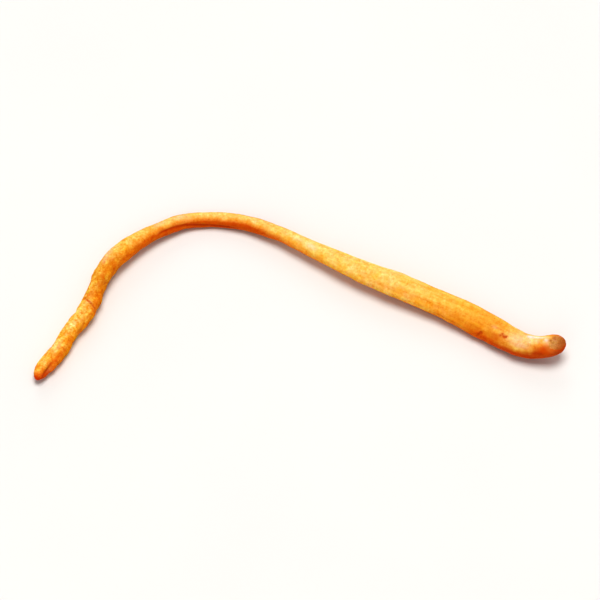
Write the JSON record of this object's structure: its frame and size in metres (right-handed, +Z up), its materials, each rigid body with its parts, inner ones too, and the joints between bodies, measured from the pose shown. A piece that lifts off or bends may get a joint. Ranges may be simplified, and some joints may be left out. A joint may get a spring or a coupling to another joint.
{
  "type": "dried cordyceps strand",
  "caption": "Dried cordyceps fungus strand lying on its side: knobbly head with a blunt tip, slender arching stalk and wider flattened foot with a slanting cut end; food ingredient.",
  "frame": {"origin": "middle of the footprint, on the surface that the strand lies on", "axes": "+Z up, +X from the tip towards the cut end, +Y towards the top of the arch"},
  "size_m": [0.0988, 0.0362, 0.0049],
  "materials": {
    "dried_fungus": "matte"
  },
  "bodies": {
    "root": {"cordyceps": "dried_fungus"}
  },
  "joints": []
}
